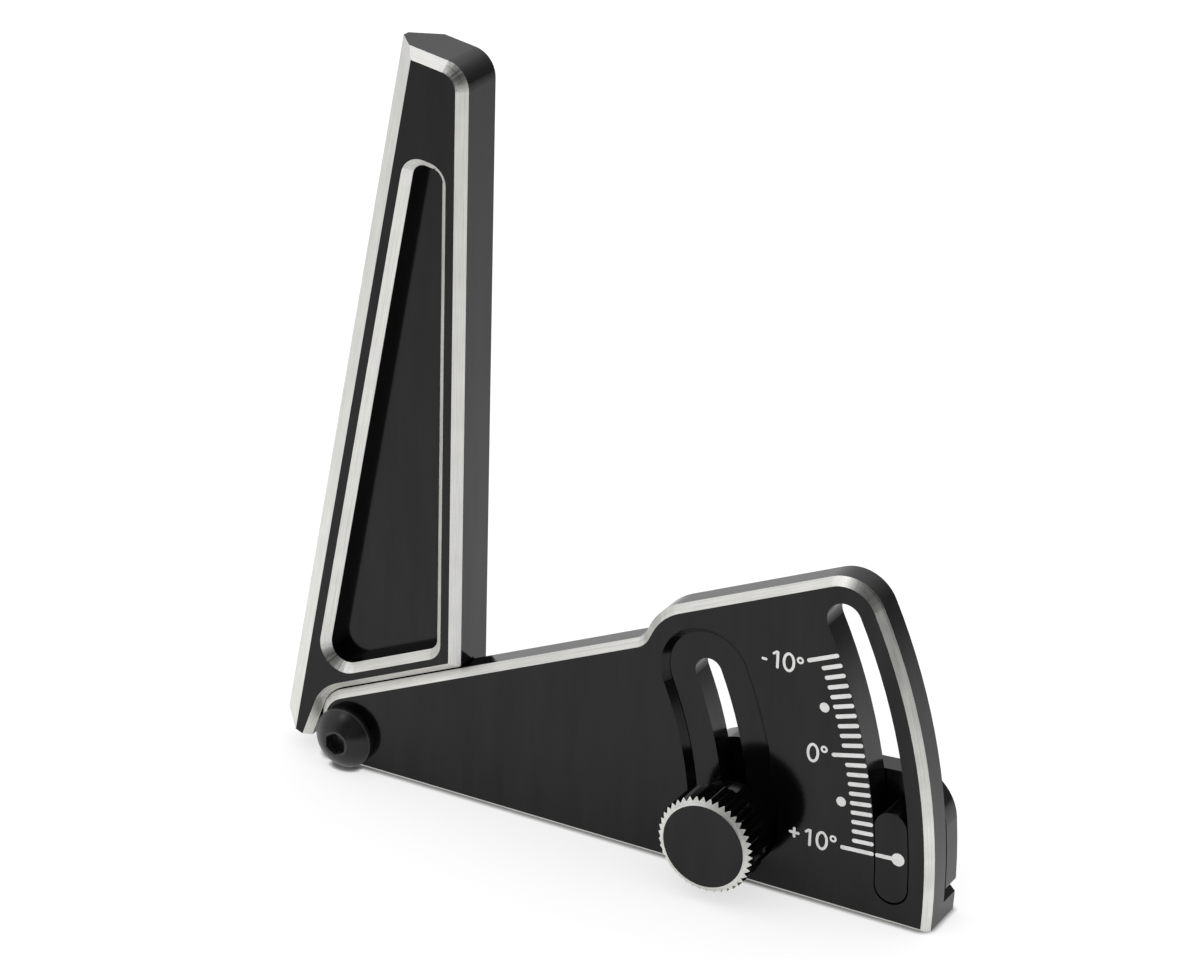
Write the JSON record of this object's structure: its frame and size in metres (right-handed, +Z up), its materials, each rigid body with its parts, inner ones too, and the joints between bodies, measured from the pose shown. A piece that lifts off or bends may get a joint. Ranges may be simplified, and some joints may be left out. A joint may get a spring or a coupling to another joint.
{
  "type": "camber caster gauge",
  "caption": "Standing gauge for the camber or caster of small wheels: a sector plate with a degree scale, a swinging straight-edge arm with a pointer, and a thumbscrew clamp.",
  "frame": {"origin": "on the ground under the pivot axis, in the middle plane of the stock, where the arm's measuring edge lies", "axes": "+X along the sector plate towards its scale, +Y from the scale face towards the back, +Z up"},
  "size_m": [0.0875, 0.0145, 0.0925],
  "materials": {
    "plate_anodised": "satin black anodised, edges cut bright",
    "arm_anodised": "satin black anodised, edges cut bright",
    "screw_steel": "black oxide",
    "head_washer_steel": "black oxide",
    "shim_steel": "plain",
    "knob_anodised": "satin black anodised, front edge cut bright",
    "stud_steel": "plain thread",
    "washer_steel": "black oxide"
  },
  "bodies": {
    "base": {"base_plate": "plate_anodised"},
    "arm": {"gauge_arm": "arm_anodised", "pivot_screw": "screw_steel", "pivot_washer": "head_washer_steel", "pivot_shim": "shim_steel"},
    "clamp_washer": {"thumb_washer": "washer_steel"},
    "thumbscrew": {"thumb_knob": "knob_anodised", "thumb_stud": "stud_steel"}
  },
  "joints": [
    {"name": "arm_swing", "type": "hinge", "parent": "base", "child": "arm", "pos_m": [0, 0, 0.004], "axis": [0, -1, 0], "range_deg": [0, 20]},
    {"name": "thumb_travel", "type": "slide", "parent": "arm", "child": "clamp_washer", "axis": [0, -1, 0], "range_m": [0, 0.001]},
    {"name": "thumb_turn", "type": "hinge", "parent": "clamp_washer", "child": "thumbscrew", "pos_m": [0.05198, 0, 0.00754], "axis": [0, -1, 0], "range_deg": [0, 720]}
  ],
  "couplings": [
    {"joint": "thumb_turn", "follows": "thumb_travel", "rad_per_m": 12566}
  ]
}
